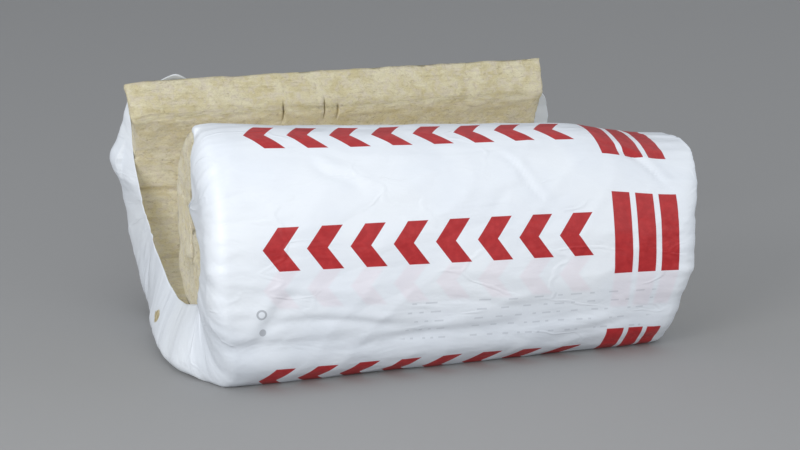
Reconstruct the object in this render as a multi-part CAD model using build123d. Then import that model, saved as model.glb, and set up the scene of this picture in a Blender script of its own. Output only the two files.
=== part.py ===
from build123d import *
from math import asin, atan2, cos, degrees, radians, sin, sqrt
import os

# An opened insulation roll, lying on its side: one wound stone wool mat and its slit film sleeve.
# X runs along the roll, Y to its back, Z up. The origin is on the floor under the middle.
# All sizes are millimetres.

# The mat
roll_length = 1000.0
mat_thickness = 112.0
turn_gap = 5.0
inner_end_share = 0.7
even_turn = 165.0

# The film
film_thickness = 1.2
film_gap = 0.3
overhang_left = 18.0
overhang_right = 46.0
film_slit_turn = 23.0

# The flat strip that the slack roll rests on, from the bolster's foot to the back's foot
rest_width = 395.0

# The wound part at the front, which sags towards the right end
crown_height_left = 515.0
crown_height_right = 446.0
foot_radius = 160.0
foot_turn = 70.0
crown_radius = 172.0

# The outer end of the mat, which stands up at the back
back_radius = 283.0
flap_radius = 340.0
flap_turn = 45.0

# How far the film is folded in over each end, at the flap's top and then at the middle and end of
# the flap, the back, the resting strip, the foot, the belly and the crown
fold_reach = (4.0, 60.0, 125.0, 165.0, 140.0, 118.0, 120.0, 128.0, 136.0, 146.0, 140.0, 100.0, 4.0)

# The film's shoulders, where it turns in at both ends: their width as a share of the overhang, and
# their depth as a share of the fold. From there the fold leans in, and its loose edge almost touches
# the wool.
shoulder_width_share = 0.75
shoulder_depth_share = 0.22
fold_clearance = 1.0

# How far the hollow that is cut from the film runs past its loose edges
edge_run_out = 4.0

skin = film_thickness + film_gap
film_right = (roll_length + overhang_left + overhang_right) / 2
film_left = -film_right
mat_left = film_left + overhang_left
mat_right = film_right - overhang_right


def crown_height(x):
    """Height of the mat's crown above its underside, at a place along the roll."""
    share = (x - mat_left) / roll_length
    return crown_height_left + (crown_height_right - crown_height_left) * share


def belly_radius(x):
    """Radius of the front face between foot and crown, which brings the crown to its height."""
    rise = cos(radians(foot_turn))
    ends = (foot_radius + crown_radius) * (1 - rise)
    return (crown_height(x) - ends) / (2 * rise)


def foot_place():
    """Where the foot's centre lies, so that the roll's depth is centred on Y = 0."""
    bulge = max(belly_radius(film_left), belly_radius(film_right))
    ahead = foot_radius * sin(radians(foot_turn)) + bulge * (1 - sin(radians(foot_turn)))
    return (ahead - rest_width - back_radius) / 2


def toward(centre, distance, angle):
    """The point at a distance and angle from a centre, in the section's plane."""
    return (centre[0] + distance * cos(radians(angle)), centre[1] + distance * sin(radians(angle)))


def wound_arcs(x):
    """The arcs of the mat's outer face, from the flap's top to its inner end.

    Each is a centre, a radius, a start angle and a sweep. Straight runs join them.
    """
    foot = (foot_place(), skin + foot_radius)
    back = (foot[0] + rest_width, skin + back_radius)
    flap = (back[0] + back_radius - flap_radius, back[1])
    front_radius = belly_radius(x)
    belly = toward(foot, front_radius - foot_radius, 90 - foot_turn)
    crown = toward(belly, front_radius - crown_radius, 90 + foot_turn)

    # The second turn goes down behind, and meets the circle that follows the belly's inner face.
    inner_radius = front_radius - mat_thickness - turn_gap
    rear = crown[0] + crown_radius
    low = skin + mat_thickness + turn_gap
    across = rear - belly[0]
    down = low - belly[1]
    spare = inner_radius + down - across
    turn_radius = sqrt(spare ** 2 + inner_radius ** 2 - across ** 2 - down ** 2) - spare
    turn = (rear - turn_radius, low + turn_radius)
    meet = degrees(atan2(turn[1] - belly[1], turn[0] - belly[0])) % 360

    # The inner end stands in the hollow under the crown.
    meet_height = inner_radius * sin(radians(meet))
    hollow_height = crown[1] + (crown_radius - mat_thickness) / 2 - belly[1]
    end_height = meet_height + inner_end_share * (hollow_height - meet_height)
    end = 180 - degrees(asin(end_height / inner_radius))

    return (
        (flap, flap_radius, flap_turn, -flap_turn),
        (back, back_radius, 0, -90),
        (foot, foot_radius, -90, -foot_turn),
        (belly, front_radius, 270 - foot_turn, 2 * foot_turn - 180),
        (crown, crown_radius, 90 + foot_turn, -90 - foot_turn),
        (turn, turn_radius, 0, -even_turn),
        (turn, turn_radius, -even_turn, even_turn + meet - 360),
        (belly, inner_radius, meet, end - meet),
    )


def run_along(arcs, outward):
    """Tangent arcs and the straight runs between them, moved outward from the mat's outer face."""
    edges = []
    for centre, radius, start, sweep in arcs:
        arc = CenterArc(centre, radius + outward, start, sweep)
        if edges and (arc @ 0 - edges[-1] @ 1).length > 0.01:
            edges.append(Line(edges[-1] @ 1, arc @ 0))
        edges.append(arc)
    return edges


def band(near, far):
    """A face between two lines of edges that run the same way."""
    ends = [Line(near[0] @ 0, far[0] @ 0), Line(near[-1] @ 1, far[-1] @ 1)]
    return make_face([*near, *far, *ends])


def mat_section(x):
    """The mat's section, from the flap at the back to its inner end in the wound part."""
    arcs = wound_arcs(x)
    return band(run_along(arcs, 0), run_along(arcs, -mat_thickness))


def film_line(x, outward):
    """The film's line round the mat, from the flap's top to the slit behind the crown."""
    arcs = wound_arcs(x)
    centre, radius, start, _ = arcs[4]
    return run_along((*arcs[:4], (centre, radius, start, 90 - start - film_slit_turn)), outward)


def folded_line(x, share, deeper=0):
    """The film's line moved inward by a share of the fold. A share of 1 gives the fold's loose edge."""
    splines = []
    for number, edge in enumerate(film_line(x, skin)):
        points = []
        for place, reach in zip((0, 0.5, 1), fold_reach[2 * number:]):
            along = edge % place
            points.append(edge @ place + Vector(along.Y, -along.X) * (share * reach + deeper))
        splines.append(Spline(*points, tangents=(edge % 0, edge % 1)))
    return splines


def run_past(edges, length):
    """The same edges with a straight run before the first and after the last."""
    first, last = edges[0], edges[-1]
    lead_in = Line(first @ 0 - (first % 0) * length, first @ 0)
    lead_out = Line(last @ 1, last @ 1 + (last % 1) * length)
    return [lead_in, *edges, lead_out]


def section_plane(x):
    """The plane across the roll, with its own x to the back and its y up."""
    return Plane(origin=(x, 0, 0), x_dir=(0, 1, 0), z_dir=(1, 0, 0))


def film_section(x, turned, inset):
    """The film's section, filled down to the fold's loose edge, where its shoulder has turned in so far.

    With an inset it is the hollow under the film instead, which runs past all of the film's edges.
    """
    share = shoulder_depth_share * (1 - cos(radians(turned)))
    line = folded_line(x, share, inset) if turned else film_line(x, skin - inset)
    if not inset:
        return section_plane(x) * band(line, folded_line(x, 1))
    return section_plane(x) * band(run_past(line, edge_run_out), folded_line(x, 1, edge_run_out))


def film_dish(end, mat_end, away, inset):
    """What lies outside a leaning fold, from the rim of its shoulder to past its loose edge."""
    rim = end + away * (film_thickness - inset)
    loose = mat_end + away * (fold_clearance + film_thickness - inset)
    rim_width = inset + film_thickness
    sections = []
    for x, share, deeper in ((rim, shoulder_depth_share, rim_width), (loose, 1, 2 * edge_run_out)):
        line = run_past(folded_line(x, share, deeper), 2 * edge_run_out)
        floor = run_past(folded_line(x, 1, 3 * edge_run_out), 2 * edge_run_out)
        sections.append(section_plane(x) * band(line, floor))
    return loft(sections, ruled=True)


def film_body(inset):
    """The space inside the film's outer face and folds, moved inward by an inset."""
    sections = []
    ends = ((film_left, mat_left, -1), (film_right, mat_right, 1))
    for end, mat_end, away in ends:
        width = shoulder_width_share * abs(end - mat_end)
        for turned in (0, 45, 90)[::away]:
            x = end - away * (inset + width * (1 - sin(radians(turned))))
            sections.append(film_section(x, turned, inset))
    body = loft(sections, ruled=True)
    for end, mat_end, away in ends:
        body -= film_dish(end, mat_end, away, inset)
    return body


def make_wool_mat():
    """The mat, whose section is spanned straight from end to end."""
    return loft([section_plane(x) * mat_section(x) for x in (mat_left, mat_right)], ruled=True)


def make_film_sleeve():
    """The sleeve with its shoulders and folds, as one even skin."""
    return film_body(0) - film_body(film_thickness)


os.makedirs("parts", exist_ok=True)
export_step(make_wool_mat(), "parts/wool_mat.step")
export_step(make_film_sleeve(), "parts/film_sleeve.step")
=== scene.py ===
"""An opened insulation roll, lying on its side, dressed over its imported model.

X runs along the roll, Y to its back, Z up, all in metres. The stone wool mat and the slit film sleeve
are meshes of their own, laid out on the same section as the two solids that they replace.
"""
from math import asin, atan2, cos, degrees, pi, radians, sin, sqrt

import bpy
import numpy as np
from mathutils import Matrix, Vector, noise


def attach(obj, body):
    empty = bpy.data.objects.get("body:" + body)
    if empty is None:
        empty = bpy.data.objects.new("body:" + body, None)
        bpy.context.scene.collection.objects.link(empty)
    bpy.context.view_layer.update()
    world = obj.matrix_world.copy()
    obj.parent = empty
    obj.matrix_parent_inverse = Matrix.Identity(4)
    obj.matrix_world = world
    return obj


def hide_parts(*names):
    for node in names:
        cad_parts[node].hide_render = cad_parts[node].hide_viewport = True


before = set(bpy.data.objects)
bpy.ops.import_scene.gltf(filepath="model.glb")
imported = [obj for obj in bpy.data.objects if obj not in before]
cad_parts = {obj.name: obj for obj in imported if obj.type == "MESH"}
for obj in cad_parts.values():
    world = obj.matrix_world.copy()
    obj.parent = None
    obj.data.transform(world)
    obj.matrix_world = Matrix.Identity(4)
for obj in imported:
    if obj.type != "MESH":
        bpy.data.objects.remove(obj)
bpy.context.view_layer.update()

# The section's sizes
ROLL_LENGTH = 1.0
MAT_THICKNESS = 0.112
TURN_GAP = 0.005
INNER_END_SHARE = 0.7
SKIN = 0.0015
OVERHANG_LEFT = 0.018
OVERHANG_RIGHT = 0.046
REST_WIDTH = 0.395
CROWN_HEIGHT_LEFT = 0.515
CROWN_HEIGHT_RIGHT = 0.446
FOOT_RADIUS = 0.160
FOOT_TURN = 70.0
CROWN_RADIUS = 0.172
FILM_SLIT_TURN = 23.0
BACK_RADIUS = 0.283
FLAP_RADIUS = 0.340
FLAP_TURN = 45.0

# How far the foot bulges out of its arc, and the share of the arc over which that eases at both ends
FOOT_STAND_OUT = 0.017
STAND_OUT_EASE = 0.3

FILM_RIGHT = (ROLL_LENGTH + OVERHANG_LEFT + OVERHANG_RIGHT) / 2
FILM_LEFT = -FILM_RIGHT
MAT_LEFT = FILM_LEFT + OVERHANG_LEFT
MAT_RIGHT = FILM_RIGHT - OVERHANG_RIGHT


# The section

def belly_radius(x):
    """Radius of the front face, which brings the crown to its height at that place."""
    share = (x - MAT_LEFT) / ROLL_LENGTH
    crown_height = CROWN_HEIGHT_LEFT + (CROWN_HEIGHT_RIGHT - CROWN_HEIGHT_LEFT) * share
    rise = cos(radians(FOOT_TURN))
    return (crown_height - (FOOT_RADIUS + CROWN_RADIUS) * (1 - rise)) / (2 * rise)


def foot_place():
    """Where the foot's centre lies, so that the roll's depth is centred on Y = 0."""
    bulge = max(belly_radius(FILM_LEFT), belly_radius(FILM_RIGHT))
    ahead = FOOT_RADIUS * sin(radians(FOOT_TURN)) + bulge * (1 - sin(radians(FOOT_TURN)))
    return (ahead - REST_WIDTH - BACK_RADIUS) / 2


def toward(centre, distance, angle):
    """The point at a distance and angle from a centre, in the section's plane."""
    return (centre[0] + distance * cos(radians(angle)), centre[1] + distance * sin(radians(angle)))


def wound_arcs(x):
    """The arcs of the mat's outer face, from the flap's top to its inner end.

    Each is a centre, a radius, a start angle and a sweep. Straight runs join them.
    """
    foot = (foot_place(), SKIN + FOOT_RADIUS)
    back = (foot[0] + REST_WIDTH, SKIN + BACK_RADIUS)
    flap = (back[0] + BACK_RADIUS - FLAP_RADIUS, back[1])
    front_radius = belly_radius(x)
    belly = toward(foot, front_radius - FOOT_RADIUS, 90 - FOOT_TURN)
    crown = toward(belly, front_radius - CROWN_RADIUS, 90 + FOOT_TURN)

    # The second turn goes down behind, and meets the circle that follows the belly's inner face.
    inner_radius = front_radius - MAT_THICKNESS - TURN_GAP
    rear = crown[0] + CROWN_RADIUS
    low = SKIN + MAT_THICKNESS + TURN_GAP
    across = rear - belly[0]
    down = low - belly[1]
    spare = inner_radius + down - across
    turn_radius = sqrt(spare ** 2 + inner_radius ** 2 - across ** 2 - down ** 2) - spare
    turn = (rear - turn_radius, low + turn_radius)
    meet = degrees(atan2(turn[1] - belly[1], turn[0] - belly[0])) % 360

    # The inner end stands in the hollow under the crown.
    meet_height = inner_radius * sin(radians(meet))
    hollow_height = crown[1] + (CROWN_RADIUS - MAT_THICKNESS) / 2 - belly[1]
    end_height = meet_height + INNER_END_SHARE * (hollow_height - meet_height)
    end = 180 - degrees(asin(end_height / inner_radius))

    return (
        (flap, FLAP_RADIUS, FLAP_TURN, -FLAP_TURN),
        (back, BACK_RADIUS, 0, -90),
        (foot, FOOT_RADIUS, -90, -FOOT_TURN),
        (belly, front_radius, 270 - FOOT_TURN, 2 * FOOT_TURN - 180),
        (crown, CROWN_RADIUS, 90 + FOOT_TURN, -90 - FOOT_TURN),
        (turn, turn_radius, 0, meet - 360),
        (belly, inner_radius, meet, end - meet),
    )


def outline_spans(x, for_film):
    """The same line as steps that take a share from 0 to 1: each gives a point and the outward angle."""
    arcs = wound_arcs(x)
    if for_film:
        centre, radius, start, _ = arcs[4]
        arcs = (*arcs[:4], (centre, radius, start, 90 - start - FILM_SLIT_TURN))
    spans = []
    for centre, radius, start, sweep in arcs:
        first = toward(centre, radius, start)
        if spans:
            last, angle = spans[-1][1](1.0)
            if abs(last[0] - first[0]) + abs(last[1] - first[1]) > 1e-5:
                spans.append(straight_span(last, first, angle))
        stand_out = FOOT_STAND_OUT if start == -90 and radius == FOOT_RADIUS else 0.0
        spans.append(arc_span(centre, radius, start, sweep, stand_out))
    return spans


def straight_span(first, last, angle):
    length = sqrt((last[0] - first[0]) ** 2 + (last[1] - first[1]) ** 2)

    def at(share):
        return (first[0] + (last[0] - first[0]) * share, first[1] + (last[1] - first[1]) * share), angle
    return length, at


def arc_span(centre, radius, start, sweep, stand_out):
    """An arc that may bulge out in its middle, but never below the mat's underside."""
    def at(share):
        angle = start + sweep * share
        rise = min(share, 1 - share, STAND_OUT_EASE) / STAND_OUT_EASE
        place = toward(centre, radius + stand_out * rise * rise * (3 - 2 * rise), angle)
        return (place[0], max(place[1], SKIN)), angle
    return radius * radians(abs(sweep)), at


def section_rows(x, for_film, steps):
    """Points, outward normals and lengths from the flap's top, spread evenly in each span, at one place."""
    rows = []
    walked = 0.0
    for (length, at), count in zip(outline_spans(x, for_film), steps, strict=True):
        for step in range(count):
            share = step / count
            rows.append((*at(share), walked + length * share))
        walked += length
    rows.append((*at(1.0), walked))
    points, angles, lengths = zip(*rows)
    normals = [toward((0.0, 0.0), 1.0, angle) for angle in angles]
    return np.array(points), np.array(normals), np.array(lengths)


class Section:
    """Rows of points along the section's line, spanned straight from end to end of the roll."""

    def __init__(self, for_film, steps):
        self.ends = [section_rows(x, for_film, steps) for x in (MAT_LEFT, MAT_RIGHT)]
        self.count = len(self.ends[0][0])

    def at(self, rows, x):
        """Points, outward normals and lengths from the flap's top, for row numbers and places x."""
        share = (x - MAT_LEFT) / ROLL_LENGTH
        (p0, n0, s0), (p1, n1, s1) = self.ends
        mix = share[:, None]
        points = p0[rows] * (1 - mix) + p1[rows] * mix
        normals = n0[rows] * (1 - mix) + n1[rows] * mix
        normals /= np.linalg.norm(normals, axis=1)[:, None]
        return points, normals, s0[rows] * (1 - share) + s1[rows] * share

    def total(self, x):
        """The line's whole length at places x."""
        return self.at(np.full(len(x), self.count - 1), x)[2]


# Helpers for meshes

def noises(points, scale, seed):
    """Smooth noise from -1 to 1 at each point."""
    offset = Vector((seed * 17.3, seed * 5.1, seed * 9.7))
    return np.array([noise.noise(Vector((p[0] * scale[0], p[1] * scale[1], p[2] * scale[2])) + offset)
                     for p in points])


def line_noises(values, scale, row, layer):
    """Smooth noise from -1 to 1 along a line, which row and layer tell apart from others."""
    return np.array([noise.noise(Vector((value * scale, row, layer))) for value in values])


def ridges(values, sharpness):
    """Narrow crests where smooth noise crosses zero."""
    return (1 - np.clip(np.abs(values) * 2, 0, 1)) ** sharpness


def smooth_step(values, low, high):
    """From 0 at the low value to 1 at the high one, eased at both."""
    share = np.clip((values - low) / (high - low), 0, 1)
    return share * share * (3 - 2 * share)


def near(values, place, width):
    """A soft bump of height 1 at a place."""
    return np.exp(-((values - place) / width) ** 2)


# How far round a knot its corner is eased, and the step of the line that it is eased on
KNOT_EASE = 0.03
KNOT_STEP = 0.002


def smooth_curve(knots, places):
    """A line through the knots with its corners eased, read off at the places."""
    fine = np.arange(-KNOT_EASE, knots[-1][0] + KNOT_EASE, KNOT_STEP)
    values = np.interp(fine, *np.array(knots).T)
    weights = np.hanning(round(KNOT_EASE / KNOT_STEP))
    return np.interp(places, fine, np.convolve(values, weights / weights.sum(), "same"))


def spaced(start, end, step):
    """Even places from the start to just before the end, about a step apart."""
    count = max(1, round(abs(end - start) / step))
    return [start + (end - start) * i / count for i in range(count)]


def turned_by(angle):
    """A turn in a flat sheet's own plane."""
    c, s = cos(radians(angle)), sin(radians(angle))
    return np.array([[c, -s, 0], [s, c, 0], [0, 0, 1]])


def link_mesh(name, points, faces, material):
    """A smooth object of its own in the scene."""
    mesh = bpy.data.meshes.new(name)
    mesh.from_pydata([tuple(p) for p in points], [], faces)
    mesh.materials.append(material)
    mesh.polygons.foreach_set("use_smooth", [True] * len(mesh.polygons))
    piece = bpy.data.objects.new(name, mesh)
    bpy.context.scene.collection.objects.link(piece)
    return piece


def make_piece(name, points, faces, places, material):
    """A piece of the roll, whose material reads the places on the flat mat or film."""
    piece = link_mesh(name, points, faces, material)
    attribute = piece.data.attributes.new("place", "FLOAT_VECTOR", "POINT")
    attribute.data.foreach_set("vector", np.asarray(places, dtype=float).ravel())
    return piece


def normals_of(points, faces):
    """Area-weighted vertex normals of a mesh of four-sided faces."""
    corners = points[np.array(faces)]
    across = np.cross(corners[:, 2] - corners[:, 0], corners[:, 3] - corners[:, 1])
    result = np.zeros_like(points)
    for corner in range(4):
        np.add.at(result, np.array(faces)[:, corner], across)
    return result / np.maximum(np.linalg.norm(result, axis=1), 1e-12)[:, None]


def box_shell(ni, nj, nk):
    """Grid places on the surface of a block of ni by nj by nk points, and its faces, turned outward."""
    index = {}

    def vertex(*place):
        return index.setdefault(place, len(index))
    faces = []
    counts = (ni, nj, nk)
    for axis in range(3):
        one, two = (axis + 1) % 3, (axis + 2) % 3
        for side in (0, counts[axis] - 1):
            for a in range(counts[one] - 1):
                for b in range(counts[two] - 1):
                    quad = []
                    for da, db in ((0, 0), (1, 0), (1, 1), (0, 1)):
                        place = [0, 0, 0]
                        place[axis], place[one], place[two] = side, a + da, b + db
                        quad.append(vertex(*place))
                    faces.append(quad[::-1] if side else quad)
    return np.array(list(index)), faces


# How the soft roll has settled: how far its crown is lifted, how much further to the right of the
# middle, and how far it falls off towards both ends
CROWN_LIFT = 0.006
CROWN_LIFT_RIGHT = 0.006
CROWN_DROP_RIGHT_END = 0.020
CROWN_DROP_LEFT_END = 0.014

# How far the foot's two corners are tucked in, along the roll and to its back
LEFT_TUCK = (0.042, 0.014)
RIGHT_TUCK = (-0.034, 0.008)


def settle(points):
    """Raise the crown a little along the middle of the roll, and tuck in the foot's two corners."""
    x, y, z = points.T
    lift = CROWN_LIFT + CROWN_LIFT_RIGHT * smooth_step(x, -0.40, 0.25)
    lift -= CROWN_DROP_RIGHT_END * smooth_step(x, 0.28, 0.50)
    lift -= CROWN_DROP_LEFT_END * (1 - smooth_step(x, -0.55, -0.46))

    # A corner is what lies low at the front near one end.
    low = 1 - smooth_step(z, 0.02, 0.21)
    left = low * (1 - smooth_step(y, -0.40, -0.20)) * (1 - smooth_step(x, -0.58, -0.36))
    right = low * (1 - smooth_step(y, -0.37, -0.13)) * smooth_step(x, 0.34, 0.56)
    points[:, 2] += lift * smooth_step(z, 0.20, 0.42) * (1 - smooth_step(y, -0.12, 0.02))
    points[:, 0] += LEFT_TUCK[0] * left + RIGHT_TUCK[0] * right
    points[:, 1] += LEFT_TUCK[1] * left + RIGHT_TUCK[1] * right


# Materials

class Nodes:
    """Short calls for building a material's nodes."""

    def __init__(self, name):
        self.material = bpy.data.materials.new(name)
        self.material.use_nodes = True
        self.tree = self.material.node_tree
        self.shader = self.tree.nodes["Principled BSDF"]

    def link(self, source, target):
        if hasattr(source, "is_output"):
            self.tree.links.new(source, target)
        else:
            target.default_value = source

    def dress(self, colour, normal, roughness, specular):
        """Set the shader's sockets, and give the finished material."""
        sockets = self.shader.inputs
        self.link(colour, sockets["Base Color"])
        self.link(normal, sockets["Normal"])
        sockets["Roughness"].default_value = roughness
        sockets["Specular IOR Level"].default_value = specular
        return self.material

    def math(self, operation, *values):
        node = self.tree.nodes.new("ShaderNodeMath")
        node.operation = operation
        for value, socket in zip(values, node.inputs):
            self.link(value, socket)
        return node.outputs[0]

    def times(self, one, two):
        return self.math("MULTIPLY", one, two)

    def less(self, one, two):
        return self.math("SUBTRACT", one, two)

    def any_of(self, masks):
        total = masks[0]
        for mask in masks[1:]:
            total = self.math("MAXIMUM", total, mask)
        return total

    def inside(self, value, low, high, soft):
        """A mask between two values, with soft edges."""
        rising = self.spread(value, low - soft, low + soft)
        falling = self.spread(value, high + soft, high - soft)
        return self.times(rising, falling)

    def attribute(self, name):
        node = self.tree.nodes.new("ShaderNodeAttribute")
        node.attribute_name = name
        return node.outputs["Vector"]

    def split(self, vector):
        node = self.tree.nodes.new("ShaderNodeSeparateXYZ")
        self.link(vector, node.inputs[0])
        return node.outputs

    def scaled(self, vector, scale):
        node = self.tree.nodes.new("ShaderNodeMapping")
        self.link(vector, node.inputs["Vector"])
        node.inputs["Scale"].default_value = scale
        return node.outputs[0]

    def noise(self, vector, scale, detail=3.0, roughness=0.55, distortion=0.0):
        node = self.tree.nodes.new("ShaderNodeTexNoise")
        self.link(vector, node.inputs["Vector"])
        node.inputs["Scale"].default_value = scale
        node.inputs["Detail"].default_value = detail
        node.inputs["Roughness"].default_value = roughness
        node.inputs["Distortion"].default_value = distortion
        return node.outputs["Fac"]

    def bent(self, vector, scale, amount):
        """The same vector, pushed about by smooth noise."""
        noise_node = self.tree.nodes.new("ShaderNodeTexNoise")
        self.link(vector, noise_node.inputs["Vector"])
        noise_node.inputs["Scale"].default_value = scale
        node = self.tree.nodes.new("ShaderNodeVectorMath")
        node.operation = "MULTIPLY_ADD"
        self.link(noise_node.outputs["Color"], node.inputs[0])
        node.inputs[1].default_value = (amount, amount, amount)
        self.link(vector, node.inputs[2])
        return node.outputs[0]

    def far_from(self, vector, place):
        node = self.tree.nodes.new("ShaderNodeVectorMath")
        node.operation = "DISTANCE"
        self.link(vector, node.inputs[0])
        node.inputs[1].default_value = place
        return node.outputs["Value"]

    def cells(self, vector, scale):
        """Distance to the nearest edge between scattered cells."""
        node = self.tree.nodes.new("ShaderNodeTexVoronoi")
        node.feature = "DISTANCE_TO_EDGE"
        self.link(vector, node.inputs["Vector"])
        node.inputs["Scale"].default_value = scale
        return node.outputs["Distance"]

    def spread(self, value, low, high, to_low=0.0, to_high=1.0):
        node = self.tree.nodes.new("ShaderNodeMapRange")
        node.interpolation_type = "SMOOTHSTEP"
        for socket, number in zip(node.inputs, (value, low, high, to_low, to_high)):
            self.link(number, socket)
        return node.outputs[0]

    def mix(self, share, first, second):
        node = self.tree.nodes.new("ShaderNodeMix")
        node.data_type = "RGBA"
        self.link(share, node.inputs["Factor"])
        for value, name in ((first, "A"), (second, "B")):
            socket = [s for s in node.inputs if s.name == name and s.type == "RGBA"][0]
            self.link(value, socket)
        return [s for s in node.outputs if s.type == "RGBA"][0]

    def bump(self, height, distance, strength, normal=None):
        node = self.tree.nodes.new("ShaderNodeBump")
        node.inputs["Strength"].default_value = strength
        node.inputs["Distance"].default_value = distance
        self.link(height, node.inputs["Height"])
        if normal is not None:
            self.link(normal, node.inputs["Normal"])
        return node.outputs[0]


# The wool's colours, each on the cut face at the flap's top, which catches more light, and on the rest, which
# is painted a little paler as painted light against the shade that falls on it
WOOL_MIDDLE = ((0.715, 0.635, 0.385, 1), (0.895, 0.800, 0.530, 1))
WOOL_LIGHT = ((0.835, 0.775, 0.560, 1), (0.980, 0.915, 0.705, 1))
WOOL_GREYER = ((0.760, 0.685, 0.575, 1), (0.900, 0.820, 0.690, 1))
WOOL_DARK = (0.420, 0.325, 0.165, 1)
CUT_FACE_FADE = 0.03


def wool_material():
    """Stone wool: pale olive-khaki, mottled in patches, with fine fibre streaks and dark specks."""
    n = Nodes("stone_wool")
    place = n.attribute("place")
    _, from_cut, _ = n.split(place)
    streaked = n.scaled(place, (14.0, 70.0, 160.0))
    thready = n.scaled(place, (260.0, 620.0, 620.0))
    patches = n.noise(place, 20.0, detail=4.0, roughness=0.6, distortion=0.6)
    hues = n.noise(place, 52.0, detail=3.0, roughness=0.6, distortion=0.4)
    streaks = n.noise(streaked, 1.0, detail=5.0, roughness=0.65, distortion=0.8)
    tufts = n.noise(place, 75.0, detail=5.0, roughness=0.7, distortion=0.9)
    fibres = n.noise(thready, 1.0, detail=4.0, roughness=0.7, distortion=1.5)

    # Painted light: off the cut face the wool is painted paler to lift the shade there, while the cut face
    # keeps the darker colours.
    painted_lift_off_cut = n.spread(from_cut, 0.0, CUT_FACE_FADE)
    middle, light, greyer = (n.mix(painted_lift_off_cut, *pair) for pair in (WOOL_MIDDLE, WOOL_LIGHT, WOOL_GREYER))
    base = n.mix(n.spread(patches, 0.34, 0.64), middle, light)
    base = n.mix(n.spread(hues, 0.46, 0.62, 0.0, 0.60), base, greyer)
    base = n.mix(n.spread(streaks, 0.50, 0.70, 0.0, 0.50), base, light)
    base = n.mix(n.spread(streaks, 0.46, 0.26, 0.0, 0.35), base, WOOL_DARK)
    base = n.mix(n.spread(tufts, 0.46, 0.28, 0.0, 0.50), base, WOOL_DARK)
    base = n.mix(n.spread(fibres, 0.56, 0.32, 0.0, 0.30), base, WOOL_DARK)

    coarse = n.bump(tufts, 0.006, 0.8)
    streaky = n.bump(streaks, 0.0035, 0.7, coarse)
    fibrous = n.bump(fibres, 0.0016, 0.8, streaky)
    return n.dress(base, fibrous, roughness=0.95, specular=0.15)


# Places of the printed lines round the film, from the middle one at the front, in metres
PRINT_LINES = (-1.190, -0.890, -0.592, -0.293, 0.0, 0.250)
PRINT_SOFT = 0.0006

# Each line's row of chevrons: its height, where it starts, and the pitch, number, slope and printed
# share of the chevrons
PRINT_HEIGHT = 0.084
PRINT_FROM = -0.452
CHEVRON_PITCH = 0.091
CHEVRON_COUNT = 8
CHEVRON_SLOPE = 0.8
CHEVRON_INK = (0.24, 0.72)

# The upright bars that follow them
BARS_FROM = 0.326
BARS_TO = 0.490
BARS_HEIGHT = 0.166
BAR_COUNT = 3
BAR_INK = (0.12, 0.88)

# A faint blurred copy under the middle line
GHOST_LINE = -0.078
GHOST_SOFT = 0.006

# Rows of broken grey rules under the middle line: the first row, their pitch and number, and where
# they run from and to
RULE_FIRST = -0.125
RULE_PITCH = 0.020
RULE_COUNT = 5
RULES_FROM = -0.13
RULES_TO = 0.44
RULE_ENDS_SOFT = 0.01
RULE_HALF_HEIGHT = 0.0018
RULE_SOFT = 0.0004

# How often the rules break, how much more often from row to row, and the noise that breaks them
RULE_BREAKS = 34.0
RULE_BREAKS_GROW = 0.17
RULE_BREAK_EDGE = (0.52, 0.54)

# A small grey ring and a dot beside them: their places, radii and soft edges, and half the ring's line
RING_MARK = (-0.433, -0.129, 0.0)
RING_RADIUS = 0.0090
RING_HALF_LINE = 0.0021
RING_SOFT = 0.0007
DOT_MARK = (-0.431, -0.170, 0.0)
DOT_RADIUS = 0.0079
DOT_SOFT = 0.0011

# A small ragged tear low on the left end, which shows the wool: its place, radius and soft edge, how
# much longer it is round the film, and how ragged
TEAR = (-0.630, -0.641, 0.0)
TEAR_RADIUS = 0.00875
TEAR_SOFT = 0.00125
TEAR_STRETCH = 1.7
TEAR_RAGGED = 0.016
TEAR_RAGGED_SCALE = 70.0

# The film's colours: two whites, a greyer tone low at the front that is partly painted shade and partly
# smudges of small print, the inks and the wool in the tear.
# An ink's strength is the share of it that covers the film.
FILM_WHITES = ((0.800, 0.845, 0.905, 1), (0.845, 0.885, 0.930, 1))
FILM_LOW_SHADE_AND_SMUDGES = (0.600, 0.645, 0.710, 1)
# Where the painted shade and print smudges low at the front start and end, round the film from the middle
# line of print
LOW_SHADE_AND_SMUDGES_TOP = (-0.09, -0.22)
LOW_SHADE_AND_SMUDGES_BOTTOM = (-0.40, -0.26)
GHOST_INK = (0.80, 0.48, 0.56, 1)
RULE_INK = (0.33, 0.35, 0.40, 1)
MARK_INK = (0.20, 0.21, 0.24, 1)
RED_INKS = ((0.400, 0.002, 0.005, 1), (0.480, 0.012, 0.014, 1))
TORN_COLOURS = ((0.420, 0.330, 0.170, 1), (0.620, 0.540, 0.320, 1))
GHOST_STRENGTH = 0.16
RULE_STRENGTH = 0.30
MARK_STRENGTH = 0.55
RED_STRENGTH = 0.98


def printed_line(n, x, round_it, line, soft):
    """A mask of plain chevrons and bars along one line of print."""
    away = n.math("ABSOLUTE", n.less(round_it, line))
    along = n.less(n.less(x, PRINT_FROM), n.times(away, CHEVRON_SLOPE))
    phase = n.math("FRACT", n.math("DIVIDE", along, CHEVRON_PITCH))
    row_of_them = n.inside(along, 0.0, CHEVRON_COUNT * CHEVRON_PITCH, soft)
    band = n.times(row_of_them, n.inside(away, -1.0, PRINT_HEIGHT / 2, soft))
    chevrons = n.times(n.inside(phase, *CHEVRON_INK, soft / CHEVRON_PITCH), band)

    bars_per_metre = BAR_COUNT / (BARS_TO - BARS_FROM)
    phase = n.math("FRACT", n.times(n.less(x, BARS_FROM), bars_per_metre))
    bars = n.inside(phase, *BAR_INK, soft * bars_per_metre)
    block = n.times(n.inside(x, BARS_FROM, BARS_TO, soft), n.inside(away, -1.0, BARS_HEIGHT / 2, soft))
    return n.math("MAXIMUM", chevrons, n.times(bars, block))


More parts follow.
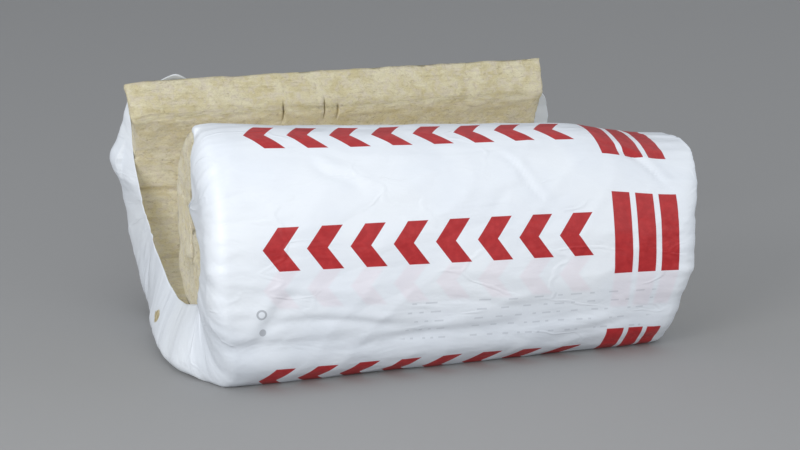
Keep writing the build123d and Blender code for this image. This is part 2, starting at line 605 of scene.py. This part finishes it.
def grey_rules(n, place, x, round_it):
    """A mask of plain broken rules."""
    rules = []
    for number in range(RULE_COUNT):
        offset = n.math("ABSOLUTE", n.less(round_it, RULE_FIRST - RULE_PITCH * number))
        stroke = n.spread(offset, RULE_HALF_HEIGHT + RULE_SOFT, RULE_HALF_HEIGHT - RULE_SOFT)
        gaps = n.noise(n.scaled(place, (RULE_BREAKS, 0.0, 0.0)), 1.0 + RULE_BREAKS_GROW * number, detail=0.0)
        rules.append(n.times(stroke, n.spread(gaps, *RULE_BREAK_EDGE)))
    return n.times(n.any_of(rules), n.inside(x, RULES_FROM, RULES_TO, RULE_ENDS_SOFT))


def ring_and_dot(n, place):
    """A mask of the two small marks."""
    from_ring = n.math("ABSOLUTE", n.less(n.far_from(place, RING_MARK), RING_RADIUS))
    ring = n.spread(from_ring, RING_HALF_LINE + RING_SOFT, RING_HALF_LINE - RING_SOFT)
    dot = n.spread(n.far_from(place, DOT_MARK), DOT_RADIUS + DOT_SOFT, DOT_RADIUS - DOT_SOFT)
    return n.any_of([ring, dot])


def tear_mask(n, place):
    """A mask of the tear, round in a space that is squeezed and pushed about by noise."""
    squeezed = (1.0, 1.0 / TEAR_STRETCH, 1.0)
    ragged = n.scaled(n.bent(place, TEAR_RAGGED_SCALE, TEAR_RAGGED), squeezed)
    tear = [(at + TEAR_RAGGED / 2) * scale for at, scale in zip(TEAR, squeezed)]
    return n.spread(n.far_from(ragged, tear), TEAR_RADIUS + TEAR_SOFT, TEAR_RADIUS - TEAR_SOFT)


def film_material():
    """White film with a cool tint, fine wrinkles, and plain printed bands round it."""
    n = Nodes("film")
    place = n.attribute("place")
    x, round_it, _ = n.split(place)
    soft_patches = n.noise(place, 5.0, detail=3.0)
    patchy = n.noise(place, 6.0, detail=2.0)
    worn = n.noise(place, 60.0, detail=4.0)
    film = n.mix(n.spread(soft_patches, 0.3, 0.7), *FILM_WHITES)
    # Painted shade: the film is greyed low at the front, mottled by noise, partly for the shade that falls
    # there and partly for smudges of small grey print.
    lower = n.times(n.spread(round_it, *LOW_SHADE_AND_SMUDGES_TOP), n.spread(round_it, *LOW_SHADE_AND_SMUDGES_BOTTOM))
    low_shade_and_smudges = n.times(lower, n.spread(patchy, 0.30, 0.70, 0.30, 0.60))
    film = n.mix(low_shade_and_smudges, film, FILM_LOW_SHADE_AND_SMUDGES)

    ghost = printed_line(n, x, round_it, GHOST_LINE, GHOST_SOFT)
    film = n.mix(n.times(ghost, GHOST_STRENGTH), film, GHOST_INK)
    film = n.mix(n.times(grey_rules(n, place, x, round_it), RULE_STRENGTH), film, RULE_INK)
    film = n.mix(n.times(ring_and_dot(n, place), MARK_STRENGTH), film, MARK_INK)
    red = n.any_of([printed_line(n, x, round_it, line, PRINT_SOFT) for line in PRINT_LINES])
    ink = n.mix(n.spread(worn, 0.35, 0.7), *RED_INKS)
    film = n.mix(n.times(red, RED_STRENGTH), film, ink)
    torn = n.mix(n.spread(n.noise(place, 160.0), 0.40, 0.60), *TORN_COLOURS)
    film = n.mix(tear_mask(n, place), film, torn)

    # Broad slack, flat facets between a few sharp creases, and a faint fine crinkle
    wide = n.noise(n.scaled(place, (5.0, 13.0, 9.0)), 1.0, detail=3.0, roughness=0.45, distortion=0.8)
    facets = n.cells(n.bent(n.scaled(place, (6.0, 11.0, 7.0)), 1.2, 0.8), 1.0)
    lines = n.times(n.spread(facets, 0.05, 0.0), n.spread(patchy, 0.46, 0.60))
    fine = n.noise(n.scaled(place, (38.0, 60.0, 50.0)), 1.0, detail=3.0, roughness=0.5, distortion=1.0)
    soft = n.bump(wide, 0.010, 0.6)
    crumpled = n.bump(facets, 0.008, 0.5, soft)
    creased = n.bump(lines, 0.0012, 0.7, crumpled)
    crinkled = n.bump(fine, 0.0006, 0.6, creased)
    return n.dress(film, crinkled, roughness=0.40, specular=0.4)


# The wool mat

# Rows in each span of the section: flap, back, rest, foot, belly, crown, rear, last turn, inner end
MAT_STEPS = (38, 58, 36, 10, 14, 62, 12, 22, 4)

# Columns along the roll: how far the closer ones reach in from the ends, and both spacings
MAT_END_ZONE = 0.028
MAT_COLUMNS_END = 0.004
MAT_COLUMNS_MIDDLE = 0.0078

# Layers of points in the mat's depth, from its outer face to its inner one
MAT_LAYERS = (0.0, 0.004, 0.012, 0.034, 0.056, 0.072, 0.084, 0.094, 0.102, 0.108, MAT_THICKNESS)

# Radii of the mat's edges: most of them, those under the film, and the flap's inner edge
MAT_ROUNDING = 0.009
MAT_END_ROUNDING = 0.020
FLAP_EDGE_ROUNDING = 0.038

# Shares by which a radius varies along its edge, and by which it is less at the ends' inner edge
ROUNDING_WAVER = 0.5
ROUNDING_CRISP = 0.65

# How far the wool stays back from the film, at its edges and further in
MAT_SETBACK_EDGE = 0.0015
MAT_SETBACK = 0.0055

# The flap's top isn't cut square: how far its inner edge falls short at the right, how far the top
# rises, and how much less at the left corner
FLAP_SKEW = 0.024
FLAP_RISE = 0.015
FLAP_CORNER_DROP = 0.012

# How far the mat's left end stands off its plane, by the distance from the flap's top
LEFT_END_SHIFT = (
    (0.0, -0.018), (0.03, -0.009), (0.07, 0.0), (0.22, 0.0), (0.50, 0.010), (0.62, 0.010), (0.86, 0.0),
    (3.2, 0.0),
)

# How far round from the flap's top the film's slit lies
SLIT_AT = 1.86

# Small torn slits over the flap's inner edge: place along the roll, width, and the depth they start at
SLITS = ((-0.176, 0.0028, 0.090), (-0.078, 0.0022, 0.086), (-0.046, 0.0034, 0.104))
SLIT_DEPTH = 0.013

# Bending cracks across the flap's inner face: distance from the flap's top, how far they run, depth
CRACKS = ((0.280, 0.34, 0.011), (0.395, 0.22, 0.008), (0.545, 0.30, 0.009))
CRACK_WIDTH = 0.006
CRACK_WANDER = 0.006

# The wool's surface: heights of its tufts and crumbs, how far it lies below the block's face, the
# height of the fibre layers on a cut face, and how far they and the ends lie lower still
TUFT_HEIGHT = 0.0028
CRUMB_HEIGHT = 0.0012
WOOL_SINK = 0.0020
LAYER_HEIGHT = 0.0026
LAYER_SINK = 0.0005
END_SINK = 0.001
END_HIGHEST = -0.0002


def mat_columns():
    places = spaced(MAT_LEFT, MAT_LEFT + MAT_END_ZONE, MAT_COLUMNS_END)
    places += spaced(MAT_LEFT + MAT_END_ZONE, MAT_RIGHT - MAT_END_ZONE, MAT_COLUMNS_MIDDLE)
    places += spaced(MAT_RIGHT - MAT_END_ZONE, MAT_RIGHT, MAT_COLUMNS_END)
    places.append(MAT_RIGHT)
    for slit, width, _ in SLITS:
        places += [slit + width * k for k in (-1.2, -0.5, 0, 0.5, 1.2)]
    return np.array(sorted(places))


def round_block(block, size):
    """The block's points with its edges rounded, each edge by its own radius."""
    walked, depth, x = block.T
    to_end = np.minimum(x, ROLL_LENGTH - x)
    under_film = (1 - smooth_step(depth, 0.0, 0.03)) * smooth_step(walked, 0.05, 0.12)
    under_film *= 1 - smooth_step(walked, 1.70, 1.80)
    flap_edge = smooth_step(depth, 0.045, 0.072) * (1 - smooth_step(walked, 0.05, 0.14))
    flap_edge *= smooth_step(to_end, 0.0, 0.05)
    crisp = smooth_step(depth, 0.06, 0.10) * smooth_step(walked, 0.03, 0.07)
    crisp *= 1 - smooth_step(to_end, 0.0, 0.03)
    waver = noises(block, (9, 9, 9), 3)
    rounding = MAT_ROUNDING * (1 + ROUNDING_WAVER * waver) * (1 - ROUNDING_CRISP * crisp)
    rounder = (MAT_END_ROUNDING - MAT_ROUNDING) * under_film
    rounding += rounder + (FLAP_EDGE_ROUNDING - MAT_ROUNDING) * flap_edge
    rounding = rounding[:, None]
    core = np.clip(block, rounding, size - rounding)
    away = block - core
    reach = np.linalg.norm(away, axis=1)[:, None]
    return core + away / np.maximum(reach, 1e-9) * np.minimum(reach, rounding)


def make_wool_mat(material):
    section = Section(False, MAT_STEPS)
    columns = mat_columns()
    layers = np.array(MAT_LAYERS)
    grid, faces = box_shell(section.count, len(layers), len(columns))
    rows, depth, x = grid[:, 0], layers[grid[:, 1]], columns[grid[:, 2]]
    line, outward, walked = section.at(rows, x)

    # The block is the mat rolled out: along, deep and across.
    block = np.stack([walked, depth, x - MAT_LEFT], axis=1)
    size = np.stack([section.total(x), np.full(len(x), MAT_THICKNESS), np.full(len(x), ROLL_LENGTH)], axis=1)
    rounded = round_block(block, size)
    shift = rounded - block

    along = np.stack([-outward[:, 1], outward[:, 0]], axis=1)
    points = np.empty((len(x), 3))
    points[:, 0] = x + shift[:, 2]
    points[:, 1:] = line - outward * rounded[:, 1:2] - along * shift[:, 0:1]

    skewed = (depth / MAT_THICKNESS) * smooth_step(x, 0.0, MAT_RIGHT) * (1 - smooth_step(walked, 0.04, 0.40))
    points[:, 0] -= FLAP_SKEW * skewed
    at_left = 1 - smooth_step(x, MAT_LEFT, MAT_LEFT + 0.14)
    points[:, 0] += at_left * smooth_curve(LEFT_END_SHIFT, walked)
    rise = FLAP_RISE - FLAP_CORNER_DROP * (1 - smooth_step(x, MAT_LEFT, MAT_LEFT + 0.05))
    points[:, 1:] += along * (rise * (1 - smooth_step(walked, 0.0, 0.10)))[:, None]
    points = roughen_wool(points, faces, block)
    settle(points)
    return make_piece("stone_wool_mat", points, faces, block[:, [2, 0, 1]], material)


def roughen_wool(points, faces, block):
    """Tufts, layers, cracks and slits, all worked inward from the mat's own faces."""
    normals = normals_of(points, faces)
    s, depth, x = block.T
    tufts = noises(block, (24, 24, 24), 11)
    crumbs = noises(block, (85, 85, 85), 12)
    layers = noises(block, (30, 190, 12), 13)
    height = TUFT_HEIGHT * tufts + CRUMB_HEIGHT * crumbs - WOOL_SINK

    # The layers show on the cut faces, and the ends stay within their plane.
    to_end = np.minimum(x, ROLL_LENGTH - x)
    cut_face = np.maximum(1 - smooth_step(to_end, 0.0, 0.006), 1 - smooth_step(s, 0.0, 0.006))
    height += cut_face * (LAYER_HEIGHT * layers - LAYER_SINK)
    on_end = (to_end < 0.003) & (s > 0.08)
    height = np.where(on_end, np.minimum(height - END_SINK, END_HIGHEST), height)

    inner_face = smooth_step(depth, MAT_THICKNESS - 0.012, MAT_THICKNESS)
    for crack, run, deep in CRACKS:
        wander = crack + CRACK_WANDER * noises(block, (0, 0, 14), 21)
        height -= deep * near(s, wander, CRACK_WIDTH) * inner_face * (1 - smooth_step(x, run * 0.6, run))
    for slit, width, starts in SLITS:
        open_part = smooth_step(depth, starts, starts + 0.008) * (1 - smooth_step(s, 0.035, 0.060))
        height -= SLIT_DEPTH * near(x + MAT_LEFT, slit, width * 0.6) * open_part

    # Under the film the wool stays clear of it, and hidden turns stay clear of each other.
    to_slit = np.abs(SLIT_AT - s)
    edge = np.minimum(np.minimum(s, to_slit), to_end)
    setback = MAT_SETBACK_EDGE + (MAT_SETBACK - MAT_SETBACK_EDGE) * smooth_step(edge, 0.01, 0.06)
    height = np.where(depth < 0.003, np.minimum(height, 0.0) - setback, height)
    return points + normals * height[:, None]


# The film sleeve

# Rows in each span: flap, back, rest, foot, belly, crown
FILM_STEPS = (38, 50, 20, 30, 60, 56)
FILM_COLUMNS = 0.0080
SHOULDER_STEPS = 8
FOLD_STEPS = 20
FILM_MESH_THICKNESS = 0.0007

# The shoulders, where the film turns in at both ends: their least width, their width as a share of
# the overhang, their depth as a share of the fold, and how much wider and deeper the left one is
SHOULDER_LEAST_WIDTH = 0.006
SHOULDER_WIDTH_SHARE = 0.75
SHOULDER_DEPTH_SHARE = 0.22
LEFT_SHOULDER_WIDER = 0.012
LEFT_SHOULDER_DEEPER = 0.10

# The tighter shoulder low at the front of the left end: its place and run from the flap's top, and
# how much narrower and flatter it is
TIGHT_AT = 1.00
TIGHT_RUN = 0.13
TIGHT_NARROWER = 0.40
TIGHT_FLATTER = 0.45

# The share of the shoulder's width that stays where the film isn't folded in
SHOULDER_REMAINS = 0.1

# The fold: how far its loose edge stays off the wool, how much nearer it comes at the flap's left end,
# how late it leans in, where 1 is straight, and how ragged its edge is, as shares of its reach
FOLD_CLEARANCE = 0.0022
FLAP_FOLD_PRESS = 0.0055
FOLD_LEAN = 1.3
FOLD_RAGGED = 0.02
FOLD_RAGGED_FINE = 0.006

# How far the film is drawn back from the flap's top and from the slit, and how much that wavers
TOP_TRIM = 0.016
TOP_WAVER = 0.004
SLIT_TRIM = 0.010
SLIT_WAVER = 0.012

# A tip of the film that stands up behind the flap: place along the roll, width and height
TIP_AT = -0.412
TIP_WIDTH = 0.034
TIP_HEIGHT = 0.038

# A tab of the left fold that sticks out behind the crown's middle: its place and size to the back and
# up, and how far it stands out
TAB_AT = (-0.245, 0.350)
TAB_SIZE = (0.045, 0.028)
TAB_REACH = 0.050

# Along the film from the flap's top: how far it is folded in, and where its end stands
LEFT_REACH = (
    (0.00, 0.003), (0.05, 0.010), (0.096, 0.060), (0.156, 0.100), (0.23, 0.150), (0.30, 0.182), (0.43, 0.200),
    (0.60, 0.202), (0.70, 0.192), (0.78, 0.168), (0.87, 0.141), (0.947, 0.129), (1.013, 0.134), (1.06, 0.148),
    (1.12, 0.164), (1.20, 0.166), (1.378, 0.165), (1.45, 0.150), (1.49, 0.148), (1.545, 0.166), (1.60, 0.168),
    (1.79, 0.166), (1.812, 0.158), (1.832, 0.008), (1.893, 0.004),
)
RIGHT_REACH = (
    (0.00, 0.003), (0.29, 0.008), (0.36, 0.080), (0.42, 0.140), (0.49, 0.165), (0.72, 0.140), (0.91, 0.118),
    (1.11, 0.120), (1.21, 0.128), (1.31, 0.136), (1.42, 0.146), (1.50, 0.120), (1.58, 0.050), (1.66, 0.010),
    (1.81, 0.003),
)
LEFT_END = (
    (0.00, -0.512), (0.05, -0.511), (0.09, -0.518), (0.148, -0.528), (0.20, -0.539), (0.235, -0.537),
    (0.28, -0.524), (0.36, -0.519), (0.50, -0.510), (0.62, -0.510), (0.71, -0.524), (0.80, -0.546),
    (0.90, -0.560), (0.98, -0.561), (1.06, -0.554), (1.14, -0.540), (1.22, -0.531), (1.60, -0.531),
    (1.74, -0.530), (1.79, -0.528), (1.83, -0.510), (1.893, -0.500),
)
RIGHT_END = (
    (0.00, 0.478), (0.06, 0.480), (0.10, 0.505), (0.13, 0.535), (0.18, 0.550), (0.26, 0.552), (0.40, 0.536),
    (1.30, 0.530), (1.42, 0.532), (1.52, 0.535), (1.60, 0.548), (1.67, 0.560), (1.74, 0.558), (1.81, 0.550),
)

# How far round from the flap's top the middle line of print lies, at which place along the roll, and
# how much less that is for each metre to the right
PRINT_MIDDLE = 1.500
PRINT_MIDDLE_AT = -0.430
PRINT_SLANT = 0.037

# How much of a shoulder's roundness its print stretches over
PRINT_STRETCH = 0.4

# Creases in the front: from and to as a place along the roll and a distance from the middle line of
# print, then depth and width
CREASES = (
    (-0.300, 0.165, -0.215, 0.110, 0.0040, 0.012),
    (0.105, 0.165, 0.190, 0.060, 0.0035, 0.007),
    (0.375, 0.190, 0.470, 0.105, 0.0040, 0.008),
    (0.060, 0.060, 0.150, 0.110, 0.0015, 0.010),
    (-0.455, -0.195, -0.360, -0.090, 0.0030, 0.014),
    (-0.400, -0.150, -0.120, -0.165, 0.0030, 0.009),
    (-0.250, -0.215, 0.080, -0.185, 0.0030, 0.011),
    (-0.060, -0.120, 0.160, -0.140, 0.0020, 0.010),
    (0.180, -0.225, 0.420, -0.190, 0.0026, 0.010),
    (-0.180, 0.150, 0.020, 0.175, 0.0022, 0.012),
)

# Heights of the film's slack, its long folds, the folds across them, the gathers and pleats at its
# ends, its loose edges and the corner that stands off at the flap's left end
SLACK_HEIGHT = 0.0034
LONG_FOLD_HEIGHT = 0.0034
CROSSED_FOLD_HEIGHT = 0.0018
GATHER_HEIGHT = 0.0026
PLEAT_HEIGHT = 0.0050
SMALL_PLEAT_HEIGHT = 0.0018
LOOSE_EDGE_HEIGHT = 0.0035
CORNER_HEIGHT = 0.012

# How much calmer the pleats are at the folds' loose edge and at the foot, as shares
LOOSE_EDGE_CALM = 0.85
FOOT_CALM = 0.75

# The lowest that wrinkles may reach on the folds and on the rest, so that the wool never shows through
FOLD_SINK = -0.0008
FILM_SINK = -0.0042


def middle_print(x):
    """How far round the film, from the flap's top, the middle line of print lies."""
    return PRINT_MIDDLE - PRINT_SLANT * (x - PRINT_MIDDLE_AT)


def film_columns():
    """The film's columns: the end they belong to, how far the shoulder has turned, a share of the fold, x."""
    columns = []
    for step in range(FOLD_STEPS, 0, -1):
        columns.append((-1, 90.0, step / FOLD_STEPS, 0.0))
    for step in range(SHOULDER_STEPS, 0, -1):
        columns.append((-1, 90 * step / SHOULDER_STEPS, 0.0, 0.0))
    for share in np.linspace(0, 1, round((FILM_RIGHT - FILM_LEFT) / FILM_COLUMNS)):
        columns.append((0, 0.0, 0.0, share))
    for step in range(1, SHOULDER_STEPS + 1):
        columns.append((1, 90 * step / SHOULDER_STEPS, 0.0, 0.0))
    for step in range(1, FOLD_STEPS + 1):
        columns.append((1, 90.0, step / FOLD_STEPS, 0.0))
    return np.array(columns).T


def film_side(side, s, reach_knots, end_knots, mat_end):
    """How the film turns in at one side, by the distance s from the flap's top.

    Gives how far it is folded in, where its end stands, its shoulder's width and depth, and the place
    of its loose edge.
    """
    at_left = side < 0
    ragged = line_noises(s, 7, side * 3.0, 0.5)
    fine = line_noises(s, 24, side * 5.0, 1.5)
    reach = smooth_curve(reach_knots, s)
    reach *= 1 + FOLD_RAGGED * ragged + FOLD_RAGGED_FINE * fine
    film_end = smooth_curve(end_knots, s)
    wool_end = mat_end + (smooth_curve(LEFT_END_SHIFT, s) if at_left else 0.0)
    overhang = np.abs(film_end - wool_end)
    width = SHOULDER_LEAST_WIDTH + SHOULDER_WIDTH_SHARE * overhang + LEFT_SHOULDER_WIDER * at_left
    width *= SHOULDER_REMAINS + (1 - SHOULDER_REMAINS) * smooth_step(reach, 0.0, 0.08)
    depth = SHOULDER_DEPTH_SHARE * reach + LEFT_SHOULDER_DEEPER * reach * at_left
    tight = near(s, TIGHT_AT, TIGHT_RUN) * at_left
    width *= 1 - TIGHT_NARROWER * tight
    depth *= 1 - TIGHT_FLATTER * tight
    clearance = FOLD_CLEARANCE - FLAP_FOLD_PRESS * (1 - smooth_step(s, 0.22, 0.36)) * at_left
    loose = side * np.minimum(side * wool_end + clearance, side * film_end)
    return reach, film_end, width, depth, loose


def make_film_sleeve(material):
    section = Section(True, FILM_STEPS)
    row_count = section.count
    end, turned, fold, straight = film_columns()
    column_count = len(end)
    rows = np.repeat(np.arange(row_count), column_count)
    end, turned, fold, straight = (np.tile(values, row_count) for values in (end, turned, fold, straight))
    turn = np.radians(turned)

    # Each row has its own fold, shoulder and end at either side.
    left_lengths, right_lengths = (lengths for _, _, lengths in section.ends)
    at_left = film_side(-1, left_lengths, LEFT_REACH, LEFT_END, MAT_LEFT)
    at_right = film_side(1, right_lengths, RIGHT_REACH, RIGHT_END, MAT_RIGHT)
    reach, film_end, width, depth, loose = (
        np.where(end < 0, one[rows], other[rows]) for one, other in zip(at_left, at_right)
    )
    inward = np.where(end == 0, 0.0, depth * (1 - np.cos(turn)) + fold * (reach - depth))
    x_end = film_end - end * width * (1 - np.sin(turn))
    lean = fold ** FOLD_LEAN
    x_end = x_end * (1 - lean) + loose * lean
    left = (at_left[1] + at_left[2])[rows]
    right = (at_right[1] - at_right[2])[rows]
    x = np.where(end == 0, left + (right - left) * straight, x_end)

    line, outward, walked = section.at(rows, x)
    faces = []
    for row in range(row_count - 1):
        for column in range(column_count - 1):
            corner = row * column_count + column
            faces.append((corner, corner + 1, corner + column_count + 1, corner + column_count))
    points = np.empty((len(x), 3))
    points[:, 0] = x
    points[:, 1:] = line + outward * (SKIN - inward)[:, None]
    trim_along_edges(points, outward, walked, section.total(x), x)

    # The same places on the flat film: along the roll, and round it from the middle line of print.
    around = walked - middle_print(x)
    across = x + end * (inward + width * (turn - np.sin(turn)) * PRINT_STRETCH)
    places = np.stack([across, around, np.zeros(len(x))], axis=1)
    folded = fold * (reach - depth)
    points = wrinkle_film(points, faces, places, fold, folded, turn, walked, end)

    tab = near(points[:, 1], TAB_AT[0], TAB_SIZE[0]) * near(points[:, 2], TAB_AT[1], TAB_SIZE[1])
    points[:, 1] += TAB_REACH * tab * (end < 0) * smooth_step(fold, 0.3, 0.95)
    settle(points)
    film = make_piece("film_sleeve_dressed", points, faces, places, material)
    thickness = film.modifiers.new("thickness", "SOLIDIFY")
    thickness.thickness = FILM_MESH_THICKNESS
    thickness.offset = -1.0
    return film


def trim_along_edges(points, outward, walked, total, x):
    """Draw the film back a little along the flap's top and the slit, by a wavering amount."""
    forward = np.stack([outward[:, 1], -outward[:, 0]], axis=1)
    waver = line_noises(x, 9, 4.5, 0.5)
    top = TOP_TRIM + TOP_WAVER * waver - TIP_HEIGHT * near(x, TIP_AT, TIP_WIDTH)
    slit = SLIT_TRIM + SLIT_WAVER * waver
    from_top = 1 - smooth_step(walked, 0.0, 0.10)
    from_slit = 1 - smooth_step(total - walked, 0.0, 0.10)
    points[:, 1:] += forward * (top * from_top - slit * from_slit)[:, None]


def crease_height(x, around):
    """Sharp valleys with a soft ridge beside them, fading at both ends."""
    height = np.zeros(len(x))
    for x0, a0, x1, a1, depth, width in CREASES:
        length = sqrt((x1 - x0) ** 2 + (a1 - a0) ** 2)
        along = ((x - x0) * (x1 - x0) + (around - a0) * (a1 - a0)) / length ** 2
        aside = ((around - a0) * (x1 - x0) - (x - x0) * (a1 - a0)) / length
        aside = aside + 0.006 * np.sin(along * 5.0 + x0 * 40)
        fade = smooth_step(along, -0.25, 0.25) * (1 - smooth_step(along, 0.75, 1.25))
        height += fade * depth * (0.7 * near(aside, 1.8 * width, 1.4 * width) - near(aside, 0.0, width))
    return height


def wrinkle_film(points, faces, places, fold, folded, turn, walked, end):
    """Slack, long soft folds, creases, and pleats that gather over the shoulders."""
    normals = normals_of(points, faces)
    x, around = places[:, 0], places[:, 1]
    height = SLACK_HEIGHT * noises(places, (3.0, 5.0, 1), 41)
    long_folds = ridges(noises(places, (2.2, 10.0, 1), 42), 1.8)
    low_front = near(around, -0.17, 0.13)
    height += LONG_FOLD_HEIGHT * (long_folds - 0.25) * (0.2 + 0.8 * low_front)
    crossed = ridges(noises(places @ turned_by(32), (4.5, 10.0, 1), 43), 2.6)
    height += CROSSED_FOLD_HEIGHT * (crossed - 0.2)
    height += crease_height(x, around)

    # Gathers run over the shoulders, and pleats down the folds, calmer at the foot and the loose edge.
    to_end = np.minimum(x - FILM_LEFT, FILM_RIGHT - x)
    near_end = 1 - smooth_step(to_end, 0.0, 0.16)
    gathers = noises(places, (4.5, 30.0, 1), 44) + 0.6 * noises(places, (6.0, 62.0, 1), 47)
    height += GATHER_HEIGHT * gathers * near_end * (1 - smooth_step(folded, 0.0, 0.04))
    pleats = ridges(noises(places, (2.0, 15.0, 1), 45), 1.4) - 0.3
    small_pleats = noises(places, (3.0, 46.0, 1), 48)
    calm_edge = 1 - LOOSE_EDGE_CALM * smooth_step(fold, 0.45, 0.95)
    calm_foot = 1 - FOOT_CALM * near(walked, 1.18, 0.09)
    calm = calm_edge * calm_foot * smooth_step(folded, 0.0, 0.09)
    height += (PLEAT_HEIGHT * pleats + SMALL_PLEAT_HEIGHT * small_pleats) * calm

    # The slit's edge is loose and stands a little off the wool. So does a corner at the flap's left end.
    to_slit = np.maximum(np.max(walked) - walked, 0)
    loose = (1 - smooth_step(walked, 0.0, 0.04)) * 0.3 + (1 - smooth_step(to_slit, 0.0, 0.06))
    height += loose * (LOOSE_EDGE_HEIGHT + LOOSE_EDGE_HEIGHT * noises(places, (9, 3, 1), 46))
    corner = near(walked, 0.195, 0.035) * (end < 0) * smooth_step(turn, 0.3, 1.4)
    height += CORNER_HEIGHT * corner * (folded < 0.03)

    height = np.maximum(height, np.where(folded > 0, FOLD_SINK, FILM_SINK))
    moved = points + normals * height[:, None]
    moved[:, 2] = np.maximum(moved[:, 2], FILM_MESH_THICKNESS)
    return moved


# Floor, light and camera

# The floor: how far it runs to the front and back, half its width, and the wall that it bends up into
FLOOR_COLOUR = (0.36, 0.36, 0.36, 1)
FLOOR_RUN = 14.0
FLOOR_HALF_WIDTH = 21.0
WALL_HEIGHT = 9.0
WALL_BEND = 3.0
WALL_BEND_STEPS = 12

WORLD_COLOUR = (0.93, 0.96, 1.0, 1)
WORLD_STRENGTH = 0.69

# Soft round lamps: name, place and power
LAMPS = (
    ("window", (-3.5, -3.0, 1.7), 90),
    ("front", (-0.6, -4.4, 1.2), 25),
    ("fill", (3.0, -3.0, 1.4), 12),
)
LAMP_SIZE = 2.4
LAMP_TARGET = Vector((0.0, 0.0, 0.2))

# The photograph was taken from here, and the camera looks at the roll with a longer lens.
CAMERA_PLACE = Vector((-1.564, -4.315, 1.300))
CAMERA_TARGET = Vector((0.000, -0.030, 0.235))
CAMERA_LENS = 96.0


def make_stage():
    n = Nodes("floor")
    n.shader.inputs["Base Color"].default_value = FLOOR_COLOUR
    n.shader.inputs["Roughness"].default_value = 0.8
    n.shader.inputs["Specular IOR Level"].default_value = 0.2
    outline = [(-FLOOR_RUN, 0.0), (FLOOR_RUN - WALL_BEND, 0.0)]
    for step in range(1, WALL_BEND_STEPS + 1):
        angle = pi / 2 * step / WALL_BEND_STEPS
        across = FLOOR_RUN - WALL_BEND + WALL_BEND * sin(angle)
        outline.append((across, WALL_BEND - WALL_BEND * cos(angle)))
    outline.append((FLOOR_RUN, WALL_HEIGHT))
    points = [(x, y, z) for y, z in outline for x in (-FLOOR_HALF_WIDTH, FLOOR_HALF_WIDTH)]
    faces = [(2 * i, 2 * i + 1, 2 * i + 3, 2 * i + 2) for i in range(len(outline) - 1)]
    link_mesh("floor", points, faces, n.material)


def aim(holder, place, target):
    """Put a lamp or the camera in its place and turn it to its target."""
    holder.location = place
    holder.rotation_euler = (target - Vector(place)).to_track_quat("-Z", "Y").to_euler()
    bpy.context.scene.collection.objects.link(holder)


def make_lights():
    world = bpy.data.worlds.new("studio")
    world.use_nodes = True
    background = world.node_tree.nodes["Background"]
    background.inputs["Color"].default_value = WORLD_COLOUR
    background.inputs["Strength"].default_value = WORLD_STRENGTH
    bpy.context.scene.world = world
    for name, place, power in LAMPS:
        light = bpy.data.lights.new(name, "AREA")
        light.shape = "DISK"
        light.size = LAMP_SIZE
        light.energy = power
        aim(bpy.data.objects.new(name, light), place, LAMP_TARGET)


def make_camera():
    camera = bpy.data.cameras.new("camera")
    camera.lens = CAMERA_LENS
    camera.sensor_width = 36.0
    camera.clip_end = 100.0
    holder = bpy.data.objects.new("camera", camera)
    aim(holder, CAMERA_PLACE, CAMERA_TARGET)
    bpy.context.scene.camera = holder


wool = make_wool_mat(wool_material())
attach(wool, "root")
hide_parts("wool_mat")

film = make_film_sleeve(film_material())
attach(film, "root")
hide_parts("film_sleeve")

make_stage()
make_lights()
make_camera()
bpy.context.scene.view_settings.view_transform = "Standard"
